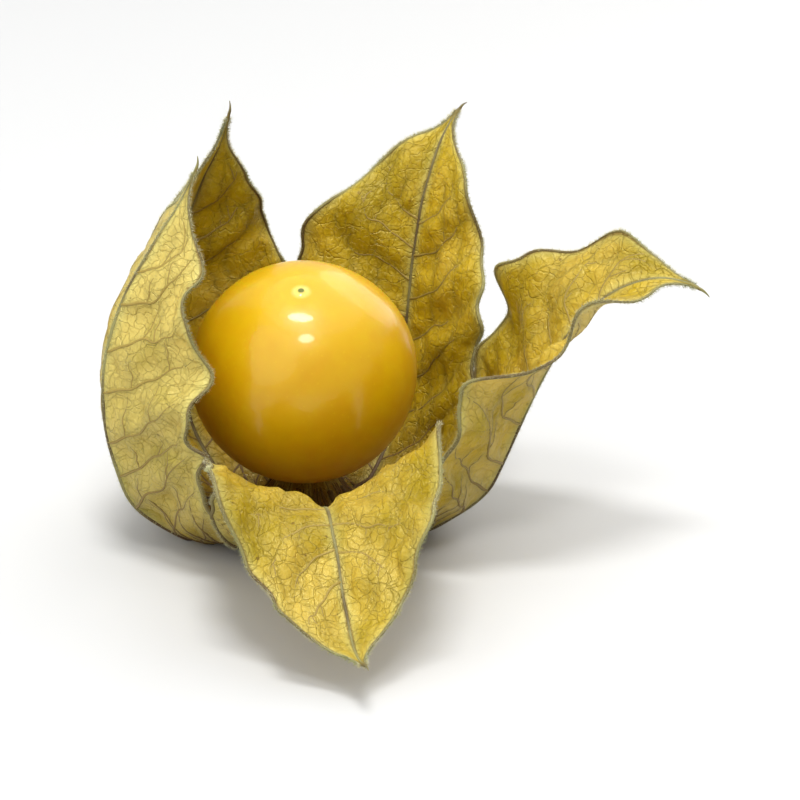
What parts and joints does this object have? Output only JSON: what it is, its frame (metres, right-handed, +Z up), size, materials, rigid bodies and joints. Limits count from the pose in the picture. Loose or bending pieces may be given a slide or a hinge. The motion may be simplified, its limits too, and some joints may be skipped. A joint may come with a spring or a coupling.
{
  "type": "physalis berry",
  "caption": "Round glossy physalis berry in its own opened papery husk with ribbed, wavy-edged lobes, on a short cut stem.",
  "frame": {"origin": "under the middle of the whole object's box, on the surface that it stands on", "axes": "+Z up; -Y to the front, where the berry leans out and one lobe of the husk folds down; +X to the right, where one lobe opens wide"},
  "size_m": [0.0475, 0.0562, 0.0319],
  "materials": {
    "berry_skin": "smooth, waxy, glossy fruit skin",
    "husk_paper": "dry papery leaf with raised veins",
    "stem_bark": "matt, finely ribbed and hairy"
  },
  "bodies": {
    "root": {"berry": "berry_skin", "husk": "husk_paper", "stem": "stem_bark"}
  },
  "joints": []
}
